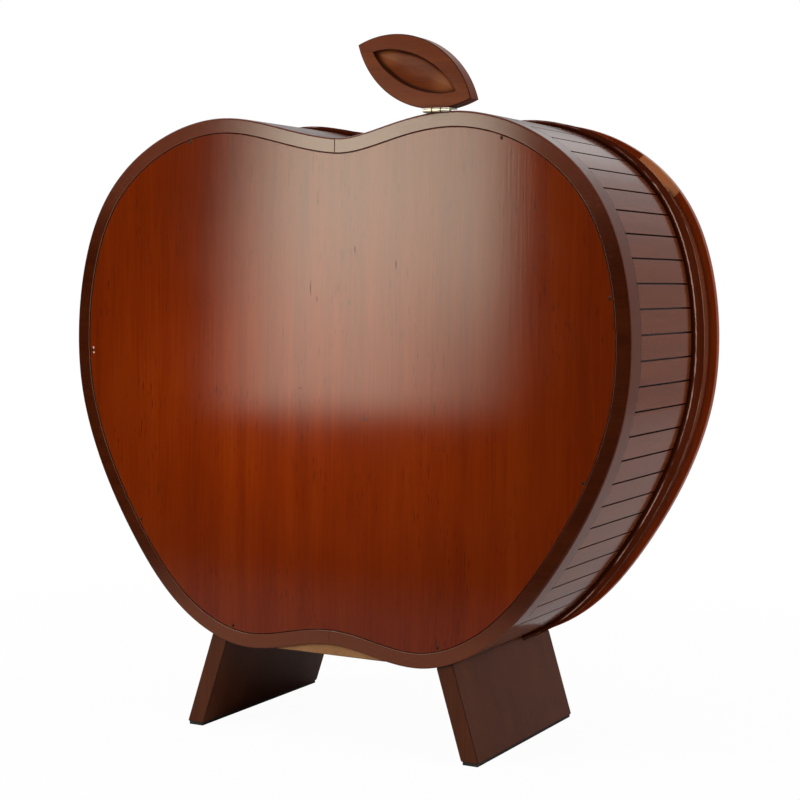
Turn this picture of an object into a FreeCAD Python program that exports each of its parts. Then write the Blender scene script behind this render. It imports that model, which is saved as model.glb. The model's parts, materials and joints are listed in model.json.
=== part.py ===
import FreeCAD
import Part
import math
import os

os.makedirs("parts", exist_ok=True)
V = FreeCAD.Vector

# Apple body seen from the front: +X right, +Z up, front towards -Y, floor at Z = 0
body_width = 800.0
body_height = 690.0
leg_height = 115.0
half_outline = [
    (0.000, 0.958),
    (0.144, 0.972),
    (0.402, 1.000),
    (0.669, 0.963),
    (0.879, 0.858),
    (0.980, 0.707),
    (1.000, 0.573),
    (0.991, 0.500),
    (0.921, 0.357),
    (0.764, 0.190),
    (0.544, 0.050),
    (0.314, 0.000),
    (0.148, 0.012),
    (0.000, 0.024),
]
outline_points = 56
edge_samples = 900

# Layers of the body from back to front
back_frame_depth = 34.0
drum_depth = 185.5
front_frame_depth = 32.5
door_gap = 1.0
door_rim_depth = 50.0
door_panel_depth = 16.0

# Widths across the walls and frames
wall_thickness = 16.0
frame_face = 19.0
frame_lip = 34.0
front_overhang = 6.5
door_rim_width = 24.0
door_rim_inset = 11.0
back_edge_round = 2.5
front_edge_round = 4.0
door_edge_round = 8.0

# Back panel and its nails
panel_thickness = 6.0
panel_setback = 0.8
panel_gap = 0.6
nail_spots = (0.092, 0.245, 0.349, 0.438, 0.566, 0.694, 0.790, 0.902)
nail_length = 18.0
nail_radius = 1.0
nail_head_radius = 1.8
nail_head_height = 0.8
nail_inset = 4.5

# Grooves along the outside of the drum
groove_pitch = 30.6
groove_width = 2.0
groove_depth = 4.0
groove_first = 14.2
groove_count = 33

# Loose tongues and dowels inside the joints
tongue_width = 26.0
tongue_thickness = 4.0
tongue_length = 150.0
dowel_radius = 3.0
dowel_depth = 14.0
dowel_count = 12
leg_dowel_radius = 4.0
leg_dowel_wall = 10.0
leg_dowel_leg = 26.0
leg_dowel_pitch = 62.0
fit_gap = 0.1
past = 1.0

# Legs, their glides and the raw board between them
leg_thickness = 23.5
leg_splay = 17.5
leg_foot_left = 200.0
leg_foot_right = 209.0
leg_length = 302.0
leg_setback = 5.0
leg_door_gap_left = 1.0
leg_door_gap_right = 3.0
glide_thickness = 4.0
glide_inset = 2.0
base_half_width = 80.0
base_rise = 3.0
base_setback = 4.0
base_screw_length = 12.0
base_screw_radius = 1.8
base_screw_beyond = 12.0

# Shelves, dividers, guard rod and glass runners
floor_height = 160.0
floor_thickness = 16.0
shelf_height = 515.0
shelf_thickness = 18.0
shelf_pin_radius = 3.0
shelf_pin_length = 20.0
shelf_pin_depth = 9.0
shelf_pin_spread = 120.0
top_height = 732.0
top_thickness = 12.0
divider_thickness = 10.0
divider_height = 130.0
divider_length = 150.0
divider_pitch = 105.0
guard_radius = 5.0
guard_rise = 115.0
guard_setback = 14.0
guard_depth = 7.0
runner_pitch = 100.0
runner_flange = 74.0
runner_flange_height = 8.0
runner_web = 14.0
runner_web_height = 18.0
runner_length = 180.0

# Door hinge on the right side and magnetic catch on the left side
door_hinge_length = 140.0
door_hinge_knuckles = 5
door_hinge_barrel = 4.0
door_hinge_pin = 2.0
door_hinge_plate = 32.0
door_hinge_thickness = 1.6
door_hinge_screw = 14.0
door_hinge_screw_row = 24.0
door_hinge_screw_pitch = 84.0
plate_proud = 0.1
knuckle_gap = 0.3
barrel_gap = 0.4
pin_clearance = 0.05
catch_radius = 7.0
catch_depth = 6.0
strike_depth = 2.0
bumper_radius = 5.0
bumper_height = 0.8
bumper_spots = (0.10, 0.44, 0.58, 0.92)
rim_meeting = 16.5

# Finger pull in the left edge of the door
pull_fraction = 0.868
pull_length = 78.0
pull_depth = 17.0
pull_corner = 8.0

# Leaf on top and its hinge
leaf_hinge_x = -143.0
leaf_hinge_length = 36.0
leaf_hinge_knuckles = 3
leaf_hinge_barrel = 3.0
leaf_hinge_pin = 1.5
leaf_hinge_plate = 20.0
leaf_hinge_thickness = 1.5
leaf_hinge_screw = 10.0
leaf_hinge_screw_row = 12.4
leaf_hinge_screw_pitch = 21.6
leaf_seat = 0.9
leaf_chord = 171.5
leaf_bulge = 40.4
leaf_tilt = 24.2
leaf_thickness = 23.0
leaf_forward = 1.6
leaf_flat = 1.4
leaf_shift = 4.5
leaf_border = 21.0
leaf_tip_border = 23.0
leaf_recess = 9.0

total_depth = (
    back_frame_depth + drum_depth + front_frame_depth + door_gap + door_rim_depth + door_panel_depth
)
back_y = total_depth / 2
drum_y = back_y - back_frame_depth
front_y = drum_y - drum_depth
rim_y = front_y - front_frame_depth - door_gap
panel_y = rim_y - door_rim_depth


def closed_curve(points):
    curve = Part.BSplineCurve()
    curve.interpolate(Points=points, PeriodicFlag=True)
    return curve.toShape()


def base_edge():
    right = []
    for across, up in half_outline:
        right.append(V(across * body_width / 2, 0, leg_height + up * body_height))
    left = [V(-p.x, 0, p.z) for p in reversed(right[1:-1])]
    return closed_curve(right + left)


base = base_edge()


def outline_point(fraction, offset):
    at = base.getParameterByLength(base.Length * fraction)
    tangent = base.tangentAt(at)
    normal = V(-tangent.z, 0, tangent.x)
    return base.valueAt(at) + normal * offset, normal


def apple(offset):
    points = [outline_point(i / outline_points, offset)[0] for i in range(outline_points)]
    return Part.Wire([closed_curve(points)])


def slab(offset, y, depth):
    solid = Part.Face(apple(offset)).extrude(V(0, -depth, 0))
    solid.translate(V(0, y, 0))
    return solid


def ring(outer, inner, y, depth):
    return slab(outer, y, depth).cut(slab(inner, y, depth))


def box(x, y, z):
    return Part.makeBox(x[1] - x[0], y[1] - y[0], z[1] - z[0], V(x[0], y[0], z[0]))


def half(shape, side):
    reach = body_width
    x = (0, reach) if side > 0 else (-reach, 0)
    return shape.common(box(x, (-reach, reach), (-reach, 2 * reach)))


def half_width(z, offset):
    points = apple(offset).discretize(edge_samples)
    widest = 0.0
    for a, b in zip(points, points[1:]):
        if (a.z - z) * (b.z - z) <= 0 and a.z != b.z:
            x = a.x + (b.x - a.x) * (z - a.z) / (b.z - a.z)
            widest = max(widest, x)
    return widest


def edge_height(x, offset, top):
    points = apple(offset).discretize(edge_samples)
    found = []
    for a, b in zip(points, points[1:]):
        if (a.x - x) * (b.x - x) <= 0 and a.x != b.x:
            found.append(a.z + (b.z - a.z) * (x - a.x) / (b.x - a.x))
    return max(found) if top else min(found)


def rounded_edge(shape, y, radius):
    level = [e for e in shape.Edges if abs(e.BoundBox.YMin - y) < 0.01 and abs(e.BoundBox.YMax - y) < 0.01]
    longest = max(level, key=lambda e: e.Length)
    return shape.makeFillet(radius, [longest])


def dowels(y, rear, front, grow):
    pegs = []
    for i in range(dowel_count):
        spot, normal = outline_point((i + 0.5) / dowel_count, -wall_thickness / 2)
        start = V(spot.x, y + rear + grow, spot.z)
        pegs.append(Part.makeCylinder(dowel_radius + grow, rear + front + 2 * grow, start, V(0, -1, 0)))
    return Part.makeCompound(pegs)


def countersunk(spot, axis, shank, length, grow):
    head = Part.makeCone(2 * shank + grow, shank + grow, shank, spot, axis)
    stem = Part.makeCylinder(shank + grow, length + grow, spot, axis)
    return head.fuse(stem).removeSplitter()


def hinge(length, knuckles, barrel, pin, plate, thickness, offset, screw, row, pitch):
    step = length / knuckles
    low = -length / 2
    bore = Part.makeCylinder(pin + pin_clearance, length + 2 * past, V(0, 0, low - past))
    leaves = []
    for turn, side in ((0, 1), (1, -1)):
        near = (offset, offset + thickness) if side > 0 else (-offset - thickness, -offset)
        leaf = box((-plate, 0), near, (low, -low))
        for i in range(knuckles):
            start = low + i * step
            if i % 2 == turn:
                lower = start if i == 0 else start + knuckle_gap / 2
                upper = start + step if i == knuckles - 1 else start + step - knuckle_gap / 2
                leaf = leaf.fuse(Part.makeCylinder(barrel, upper - lower, V(0, 0, lower)))
            else:
                room = Part.makeCylinder(
                    barrel + barrel_gap, step + knuckle_gap, V(0, 0, start - knuckle_gap / 2)
                )
                leaf = leaf.cut(room)
        leaves.append(leaf.cut(bore))
    screws = []
    holes = []
    for side in (1, -1):
        heads = [V(-row, side * offset, z * pitch / 2) for z in (-1, 1)]
        shank = thickness
        axis = V(0, side, 0)
        screws.append(Part.makeCompound([countersunk(h, axis, shank, screw, 0) for h in heads]))
        holes.append(Part.makeCompound([countersunk(h, axis, shank, screw, fit_gap) for h in heads]))
    fixed = leaves[0].cut(holes[0])
    moving = leaves[1].cut(holes[1])
    post = Part.makeCylinder(pin, length, V(0, 0, low))
    return [fixed, moving, post, screws[0], screws[1], holes[0], holes[1]]


def placed(shapes, spot, across, up):
    along = across.cross(up)
    matrix = FreeCAD.Matrix(
        across.x, up.x, along.x, spot.x,
        across.y, up.y, along.y, spot.y,
        across.z, up.z, along.z, spot.z,
        0, 0, 0, 1,
    )
    return [s.transformed(matrix) for s in shapes]


parts = {}

# Door hinge: barrel just outside the widest point of the door
widest = max(apple(front_overhang).discretize(edge_samples), key=lambda p: p.x)
hinge_x = widest.x + door_hinge_barrel + knuckle_gap
hinge_z = widest.z
hinge_y = front_y - front_frame_depth - door_gap / 2
door_set = hinge(
    door_hinge_length, door_hinge_knuckles, door_hinge_barrel, door_hinge_pin, door_hinge_plate,
    door_hinge_thickness, door_gap / 2 - plate_proud, door_hinge_screw,
    door_hinge_screw_row, door_hinge_screw_pitch,
)
door_set = placed(door_set, V(hinge_x, hinge_y, hinge_z), V(1, 0, 0), V(0, 1, 0))
parts["door_hinge_fixed"] = door_set[0]
parts["door_hinge_moving"] = door_set[1]
parts["door_hinge_pin"] = door_set[2]
parts["door_hinge_fixed_screws"] = door_set[3]
parts["door_hinge_moving_screws"] = door_set[4]
plate_x = (hinge_x - door_hinge_plate - fit_gap, hinge_x + door_hinge_barrel)
plate_z = (hinge_z - door_hinge_length / 2 - fit_gap, hinge_z + door_hinge_length / 2 + fit_gap)
plate_sink = door_hinge_thickness - plate_proud
frame_face_y = front_y - front_frame_depth
fixed_pocket = box(plate_x, (frame_face_y - past, frame_face_y + plate_sink), plate_z)
moving_pocket = box(plate_x, (rim_y - plate_sink, rim_y + past), plate_z)

# Leaf hinge: barrel in the plane of the back, on a flat cut in the top of the back frame
seat_z = edge_height(leaf_hinge_x, 0, True) - leaf_seat
leaf_axis_z = seat_z + leaf_hinge_barrel
leaf_set = hinge(
    leaf_hinge_length, leaf_hinge_knuckles, leaf_hinge_barrel, leaf_hinge_pin, leaf_hinge_plate,
    leaf_hinge_thickness, leaf_hinge_barrel - leaf_hinge_thickness, leaf_hinge_screw,
    leaf_hinge_screw_row, leaf_hinge_screw_pitch,
)
leaf_set = placed(leaf_set, V(leaf_hinge_x, back_y, leaf_axis_z), V(0, 1, 0), V(0, 0, -1))
parts["leaf_hinge_lower"] = leaf_set[0]
parts["leaf_hinge_upper"] = leaf_set[1]
parts["leaf_hinge_pin"] = leaf_set[2]
parts["leaf_hinge_lower_screws"] = leaf_set[3]
parts["leaf_hinge_upper_screws"] = leaf_set[4]
seat_x = (leaf_hinge_x - leaf_hinge_length / 2 - fit_gap, leaf_hinge_x + leaf_hinge_length / 2 + fit_gap)
seat_top = seat_z + leaf_hinge_plate
seat = box(seat_x, (back_y - leaf_hinge_plate - fit_gap, back_y + past), (seat_z, seat_top))
barrel_room = leaf_hinge_barrel + barrel_gap
seat = seat.fuse(box(seat_x, (back_y - barrel_room, back_y + past), (seat_z - barrel_gap, seat_top)))

# Back frame with a rabbet for the panel
nails = []
nail_holes = []
for fraction in nail_spots:
    spot, normal = outline_point(fraction, -frame_face - nail_inset)
    head = V(spot.x, back_y - panel_setback, spot.z)
    axis = V(0, -1, 0)
    nails.append(
        Part.makeCylinder(nail_head_radius, nail_head_height, head, axis).fuse(
            Part.makeCylinder(nail_radius, nail_length, head, axis)
        )
    )
    nail_holes.append(
        Part.makeCylinder(nail_head_radius + fit_gap, nail_head_height, head, axis).fuse(
            Part.makeCylinder(nail_radius + fit_gap, nail_length + fit_gap, head, axis)
        )
    )
nail_holes = Part.makeCompound(nail_holes)
for name, side in (("back_frame_left", -1), ("back_frame_right", 1)):
    frame = half(ring(0, -frame_lip, back_y, back_frame_depth), side)
    frame = rounded_edge(frame, back_y, back_edge_round)
    frame = frame.cut(slab(-frame_face, back_y, panel_setback + panel_thickness))
    frame = frame.cut(dowels(drum_y, dowel_depth, 0, fit_gap))
    frame = frame.cut(seat).cut(leaf_set[5])
    parts[name] = frame.cut(nail_holes)
back_panel = slab(-frame_face - panel_gap, back_y - panel_setback, panel_thickness)
parts["back_panel"] = back_panel.cut(nail_holes)
parts["panel_nails"] = Part.makeCompound(nails)

# Tongues across the butt joints of the drum, top and bottom
tongue_y = drum_y - drum_depth / 2
tongues = []
slots = []
for top in (True, False):
    inward = -wall_thickness / 2 if top else wall_thickness / 2
    z = edge_height(0.01, 0, top) + inward
    for grow, store in ((0, tongues), (fit_gap, slots)):
        x = tongue_width / 2 + grow
        y = tongue_length / 2 + grow
        rise = tongue_thickness / 2 + grow
        store.append(box((-x, x), (tongue_y - y, tongue_y + y), (z - rise, z + rise)))
parts["drum_tongues"] = Part.makeCompound(tongues)

# Legs: splayed slabs coped to the round underside. The opening door sinks towards the right leg.
splay = math.radians(leg_splay)
leg_half = leg_thickness / 2 / math.cos(splay)
leg_top = leg_height + body_height / 8
leg_rear = back_y - leg_setback
leg_pegs = []
leg_holes = []
glides = []
legs = {}
for name, side, foot_x, door_room in (
    ("leg_left", -1, leg_foot_left, leg_door_gap_left),
    ("leg_right", 1, leg_foot_right, leg_door_gap_right),
):
    corners = []
    for z, edge in ((glide_thickness, -1), (glide_thickness, 1), (leg_top, 1), (leg_top, -1)):
        x = foot_x - z * math.tan(splay) + edge * leg_half
        corners.append(V(side * x, leg_rear, z))
    leg = Part.Face(Part.makePolygon(corners + corners[:1])).extrude(V(0, -leg_length, 0))
    leg = leg.cut(slab(fit_gap, back_y, total_depth))
    leg = leg.cut(slab(front_overhang + fit_gap, front_y + fit_gap, total_depth))
    leg = leg.cut(slab(front_overhang + door_room, rim_y + door_gap, total_depth))
    legs[name] = leg
    x = foot_x
    for step in range(12):
        x = foot_x - edge_height(x, 0, False) * math.tan(splay)
    contact = V(side * x, 0, edge_height(x, 0, False))
    down = V(side * math.sin(splay), 0, -math.cos(splay))
    for i in (-1, 0, 1):
        y = drum_y - drum_depth / 2 + i * leg_dowel_pitch
        start = V(contact.x, y, contact.z) - down * leg_dowel_wall
        length = leg_dowel_wall + leg_dowel_leg
        leg_pegs.append(Part.makeCylinder(leg_dowel_radius, length, start, down))
        leg_holes.append(
            Part.makeCylinder(leg_dowel_radius + fit_gap, length + 2 * fit_gap, start - down * fit_gap, down)
        )
    foot = foot_x - glide_thickness * math.tan(splay)
    inset = leg_half - glide_inset
    low, high = sorted((side * (foot - inset), side * (foot + inset)))
    glide_y = (leg_rear - leg_length + glide_inset, leg_rear - glide_inset)
    glides.append(box((low, high), glide_y, (0, glide_thickness)))
leg_holes = Part.makeCompound(leg_holes)
for name in legs:
    parts[name] = legs[name].cut(leg_holes)
parts["leg_dowels"] = Part.makeCompound(leg_pegs)
parts["leg_glides"] = Part.makeCompound(glides)

# Raw board filling the dip under the body
base_low = leg_height + base_rise
base_y = (front_y, back_y - base_setback)
base_board = box((-base_half_width, base_half_width), base_y, (base_low, leg_height + body_height / 10))
base_board = base_board.cut(slab(fit_gap, back_y, total_depth))
base_screws = []
base_holes = []
for i in (-1, 1):
    spot = V(0, tongue_y + i * (tongue_length / 2 + base_screw_beyond), base_low)
    up = edge_height(0.01, 0, False) - base_low
    base_screws.append(countersunk(spot, V(0, 0, 1), base_screw_radius, up + base_screw_length, 0))
    base_holes.append(countersunk(spot, V(0, 0, 1), base_screw_radius, up + base_screw_length, fit_gap))
base_holes = Part.makeCompound(base_holes)
parts["base_board"] = base_board.cut(base_holes)
parts["base_screws"] = Part.makeCompound(base_screws)

# Boards inside the drum, cut to its curved wall
inside = slab(-wall_thickness - fit_gap, drum_y - fit_gap, drum_depth - 2 * fit_gap)
wide = (-body_width, body_width)
deep = (-body_width, body_width)
parts["floor_shelf"] = inside.common(box(wide, deep, (floor_height, floor_height + floor_thickness)))
parts["main_shelf"] = inside.common(box(wide, deep, (shelf_height, shelf_height + shelf_thickness)))
parts["top_board"] = inside.common(box(wide, deep, (top_height, top_height + top_thickness)))

# Shelf pins under the main shelf
pin_z = shelf_height - shelf_pin_radius
pin_x = half_width(pin_z, -wall_thickness)
pins = []
pin_holes = []
for side in (-1, 1):
    for i in (-0.5, 0.5):
        y = tongue_y + i * shelf_pin_spread
        start = V(side * (pin_x + shelf_pin_depth), y, pin_z)
        pins.append(Part.makeCylinder(shelf_pin_radius, shelf_pin_length, start, V(-side, 0, 0)))
        back = start + V(side * fit_gap, 0, 0)
        pin_holes.append(
            Part.makeCylinder(shelf_pin_radius + fit_gap, shelf_pin_length, back, V(-side, 0, 0))
        )
pin_holes = Part.makeCompound(pin_holes)
parts["shelf_pins"] = Part.makeCompound(pins)

# Dividers and guard rod for standing bottles
floor_top = floor_height + floor_thickness
dividers = []
divider_rear = drum_y - fit_gap
for i in (-1, 0, 1):
    x = (i * divider_pitch - divider_thickness / 2, i * divider_pitch + divider_thickness / 2)
    y = (divider_rear - divider_length, divider_rear)
    dividers.append(box(x, y, (floor_top, floor_top + divider_height)))
parts["bottle_dividers"] = Part.makeCompound(dividers)
guard_z = floor_top + guard_rise
guard_y = front_y + guard_setback
guard_half = half_width(guard_z, -wall_thickness) + guard_depth
parts["bottle_guard"] = Part.makeCylinder(
    guard_radius, 2 * guard_half, V(-guard_half, guard_y, guard_z), V(1, 0, 0)
)
guard_end = V(-guard_half - fit_gap, guard_y, guard_z)
guard_hole = Part.makeCylinder(
    guard_radius + fit_gap, 2 * guard_half + 2 * fit_gap, guard_end, V(1, 0, 0)
)

# Runners that hold stemmed glasses by the foot
runners = []
runner_y = (tongue_y - runner_length / 2, tongue_y + runner_length / 2)
web_low = top_height - runner_web_height
flange_low = web_low - runner_flange_height
for i in (-1.5, -0.5, 0.5, 1.5):
    x = i * runner_pitch
    web = box((x - runner_web / 2, x + runner_web / 2), runner_y, (web_low, top_height))
    flange = box((x - runner_flange / 2, x + runner_flange / 2), runner_y, (flange_low, web_low))
    runners.append(web.fuse(flange).removeSplitter())
parts["glass_runners"] = Part.makeCompound(runners)

# Drum: bent wall in two halves, grooved outside above the legs
grooves = []
for side in (-1, 1):
    for i in range(groove_count):
        along = (groove_first + i * groove_pitch) / base.Length
        spot, normal = outline_point(along if side > 0 else 1 - along, 0)
        tangent = V(normal.z, 0, -normal.x)
        corners = []
        for across, out in ((-1, 1), (1, 1), (1, -groove_depth), (-1, -groove_depth)):
            corners.append(spot + tangent * (across * groove_width / 2) + normal * out)
        kerf = Part.Face(Part.makePolygon(corners + corners[:1])).extrude(V(0, -drum_depth, 0))
        kerf.translate(V(0, drum_y, 0))
        grooves.append(kerf)
drum = ring(0, -wall_thickness, drum_y, drum_depth)
drum_holes = Part.makeCompound([
    dowels(drum_y, 0, dowel_depth, fit_gap),
    dowels(front_y, dowel_depth, 0, fit_gap),
    leg_holes,
    base_holes,
    pin_holes,
    guard_hole,
] + slots)
for name, side in (("drum_left", -1), ("drum_right", 1)):
    piece = half(drum, side)
    own = [g for g in grooves if g.BoundBox.Center.x * side > 0]
    piece = piece.cut(Part.makeCompound(own))
    parts[name] = piece.cut(drum_holes)
parts["back_dowels"] = dowels(drum_y, dowel_depth, dowel_depth, 0)
parts["front_dowels"] = dowels(front_y, dowel_depth, dowel_depth, 0)

# Front frame, catch magnet and bumpers
catch_x = -half_width(hinge_z, -rim_meeting)
magnet = Part.makeCylinder(catch_radius, catch_depth, V(catch_x, frame_face_y, hinge_z), V(0, 1, 0))
magnet_hole = Part.makeCylinder(
    catch_radius + fit_gap, catch_depth + fit_gap, V(catch_x, frame_face_y, hinge_z), V(0, 1, 0)
)
parts["catch_magnet"] = magnet
for name, side in (("front_frame_left", -1), ("front_frame_right", 1)):
    frame = half(ring(front_overhang, -frame_lip, front_y, front_frame_depth), side)
    frame = rounded_edge(frame, front_y, front_edge_round)
    frame = frame.cut(dowels(front_y, 0, dowel_depth, fit_gap))
    frame = frame.cut(fixed_pocket).cut(door_set[5])
    parts[name] = frame.cut(magnet_hole)
bumpers = []
for fraction in bumper_spots:
    spot, normal = outline_point(fraction, -rim_meeting)
    start = V(spot.x, frame_face_y, spot.z)
    bumpers.append(Part.makeCylinder(bumper_radius, bumper_height, start, V(0, -1, 0)))
parts["door_bumpers"] = Part.makeCompound(bumpers)

# Door: rim in two halves set back behind the edge of a front panel, finger pull in its left edge
rim_offset = front_overhang - door_rim_inset
pull_spot, pull_normal = outline_point(pull_fraction, front_overhang)
pull = Part.makeBox(
    pull_length, door_rim_depth, 2 * pull_depth, V(-pull_length / 2, 0, -pull_depth)
)
pull = pull.makeFillet(
    pull_corner,
    [e for e in pull.Edges if abs(e.BoundBox.YLength - door_rim_depth) < 0.01 and e.BoundBox.ZMax < 0],
)
pull_along = V(pull_normal.z, 0, -pull_normal.x)
pull = placed([pull], V(pull_spot.x, panel_y, pull_spot.z), pull_along, V(0, 1, 0))[0]
strike = Part.makeCylinder(catch_radius, strike_depth, V(catch_x, rim_y, hinge_z), V(0, -1, 0))
strike_hole = Part.makeCylinder(
    catch_radius + fit_gap, strike_depth + fit_gap, V(catch_x, rim_y, hinge_z), V(0, -1, 0)
)
parts["catch_strike"] = strike
for name, side in (("door_rim_left", -1), ("door_rim_right", 1)):
    rim = half(ring(rim_offset, rim_offset - door_rim_width, rim_y, door_rim_depth), side)
    rim = rim.cut(moving_pocket).cut(door_set[6])
    parts[name] = rim.cut(pull).cut(strike_hole)
door_panel = slab(front_overhang, panel_y, door_panel_depth)
parts["door_panel"] = rounded_edge(door_panel, panel_y - door_panel_depth, door_edge_round)

# Leaf: two arcs that meet in points, hollowed on the back, flat where the hinge holds it
tilt = math.radians(leaf_tilt)


def almond(chord, bulge, centre):
    along = V(math.cos(tilt), 0, math.sin(tilt))
    up = V(-math.sin(tilt), 0, math.cos(tilt))
    tips = [centre - along * (chord / 2), centre + along * (chord / 2)]
    upper = Part.Arc(tips[0], centre + up * bulge, tips[1]).toShape()
    lower = Part.Arc(tips[1], centre - up * bulge, tips[0]).toShape()
    return Part.Face(Part.Wire([upper, lower]))


plate_top = leaf_axis_z + leaf_hinge_barrel
arc_radius = (leaf_chord ** 2 / 4 + leaf_bulge ** 2) / (2 * leaf_bulge)
arc_rise = arc_radius - leaf_bulge
leaf_centre = V(
    leaf_hinge_x + leaf_shift + arc_rise * math.sin(tilt),
    back_y - leaf_forward,
    plate_top - leaf_flat + arc_radius - arc_rise * math.cos(tilt),
)
leaf = almond(leaf_chord, leaf_bulge, leaf_centre).extrude(V(0, -leaf_thickness, 0))
inner_bulge = leaf_bulge - leaf_border
inner_chord = leaf_chord - 2 * leaf_tip_border
leaf = leaf.cut(almond(inner_chord, inner_bulge, leaf_centre).extrude(V(0, -leaf_recess, 0)))
below = (plate_top - leaf_thickness, plate_top)
leaf = leaf.cut(box((leaf_hinge_x - leaf_chord, leaf_hinge_x + leaf_chord), (-back_y, 2 * back_y), below))
parts["leaf"] = leaf.cut(leaf_set[6])

for name in parts:
    parts[name].exportStep("parts/" + name + ".step")
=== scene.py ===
"""Dresses the apple-shaped cabinet: stained wood, brass, a carved leaf, studio light and camera."""

import json
import logging
import math
from dataclasses import dataclass, field
from enum import Enum
from typing import Union

import bpy
from mathutils import Matrix, Vector

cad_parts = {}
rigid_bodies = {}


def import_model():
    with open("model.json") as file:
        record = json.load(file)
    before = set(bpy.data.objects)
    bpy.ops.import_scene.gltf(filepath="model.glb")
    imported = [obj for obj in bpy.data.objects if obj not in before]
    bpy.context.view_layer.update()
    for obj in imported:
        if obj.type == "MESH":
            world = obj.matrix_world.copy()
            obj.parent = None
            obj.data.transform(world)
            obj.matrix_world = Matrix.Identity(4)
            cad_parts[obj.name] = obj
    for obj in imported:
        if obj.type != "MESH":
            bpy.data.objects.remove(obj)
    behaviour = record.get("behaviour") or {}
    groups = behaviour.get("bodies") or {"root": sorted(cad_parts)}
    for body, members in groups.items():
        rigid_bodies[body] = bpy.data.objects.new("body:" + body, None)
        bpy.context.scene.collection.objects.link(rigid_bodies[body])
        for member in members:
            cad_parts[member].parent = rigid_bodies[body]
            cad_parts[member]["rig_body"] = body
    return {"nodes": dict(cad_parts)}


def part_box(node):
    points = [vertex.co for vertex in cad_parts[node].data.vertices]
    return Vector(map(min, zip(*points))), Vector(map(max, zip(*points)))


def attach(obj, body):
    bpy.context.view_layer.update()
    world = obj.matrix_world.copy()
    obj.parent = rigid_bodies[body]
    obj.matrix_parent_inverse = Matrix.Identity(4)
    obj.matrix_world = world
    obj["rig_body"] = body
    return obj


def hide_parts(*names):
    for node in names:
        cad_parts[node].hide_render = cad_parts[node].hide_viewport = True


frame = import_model()

LOG = logging.getLogger("cabinet")
Colour = tuple[float, float, float]
Triple = tuple[float, float, float]
Span = tuple[float, float]

WHITE: Colour = (1.0, 1.0, 1.0)
# Rays that the nodes for arrises and corners send from each point.
PROBES = 4
# How far the rounded normal turns away from the true one at an arris.
EDGE_TURN: Span = (0.02, 0.25)
# The share of a normal that runs front to back, on sides and on ends.
SIDE_TURN: Span = (0.35, 0.8)
# Sockets of the Mix node in its colour mode.
MIX_SHARE, MIX_FIRST, MIX_SECOND, MIX_RESULT = 0, 6, 7, 2


class Grain(Enum):
    """The axis along which the fibres run."""

    X = 0
    Y = 1
    Z = 2

    def scale(self, across: float, along: float) -> Triple:
        """Turn the sizes of a pattern into a scale on each axis.

        Args:
            across: features per metre across the fibres.
            along: features per metre along the fibres.

        Returns:
            The scale on X, Y and Z.
        """
        made = [across, across, across]
        made[self.value] = along
        return tuple(made)


@dataclass(frozen=True)
class Pattern:
    """A noise pattern: features per metre across and along the grain, octaves, waviness and shift."""

    across: float
    along: float
    detail: float
    distortion: float = 0.0
    seed: Triple = (0.0, 0.0, 0.0)


class Value:
    """A number socket that takes part in Python sums."""

    def __init__(self, shader: "Shader", socket: bpy.types.NodeSocket) -> None:
        """Keep the socket and the shader that it belongs to."""
        self.shader = shader
        self.socket = socket

    def _math(self, operation: str, first: object, second: object) -> "Value":
        """Add one Math node.

        Args:
            operation: the Math node's operation.
            first: a Value or a number.
            second: a Value or a number.

        Returns:
            The node's result.
        """
        return self.shader.value("ShaderNodeMath", {"operation": operation}, {0: first, 1: second})

    def __add__(self, other: object) -> "Value":
        """Sum."""
        return self._math("ADD", self, other)

    __radd__ = __add__

    def __sub__(self, other: object) -> "Value":
        """Difference."""
        return self._math("SUBTRACT", self, other)

    def __rsub__(self, other: object) -> "Value":
        """Difference with the socket last."""
        return self._math("SUBTRACT", other, self)

    def __mul__(self, other: object) -> "Value":
        """Product."""
        return self._math("MULTIPLY", self, other)

    def __abs__(self) -> "Value":
        """Size without sign."""
        return self._math("ABSOLUTE", self, 0.0)

    def above(self, other: object) -> "Value":
        """The larger of two values."""
        return self._math("MAXIMUM", self, other)


Skin = tuple[bpy.types.NodeSocket, Value]


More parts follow.
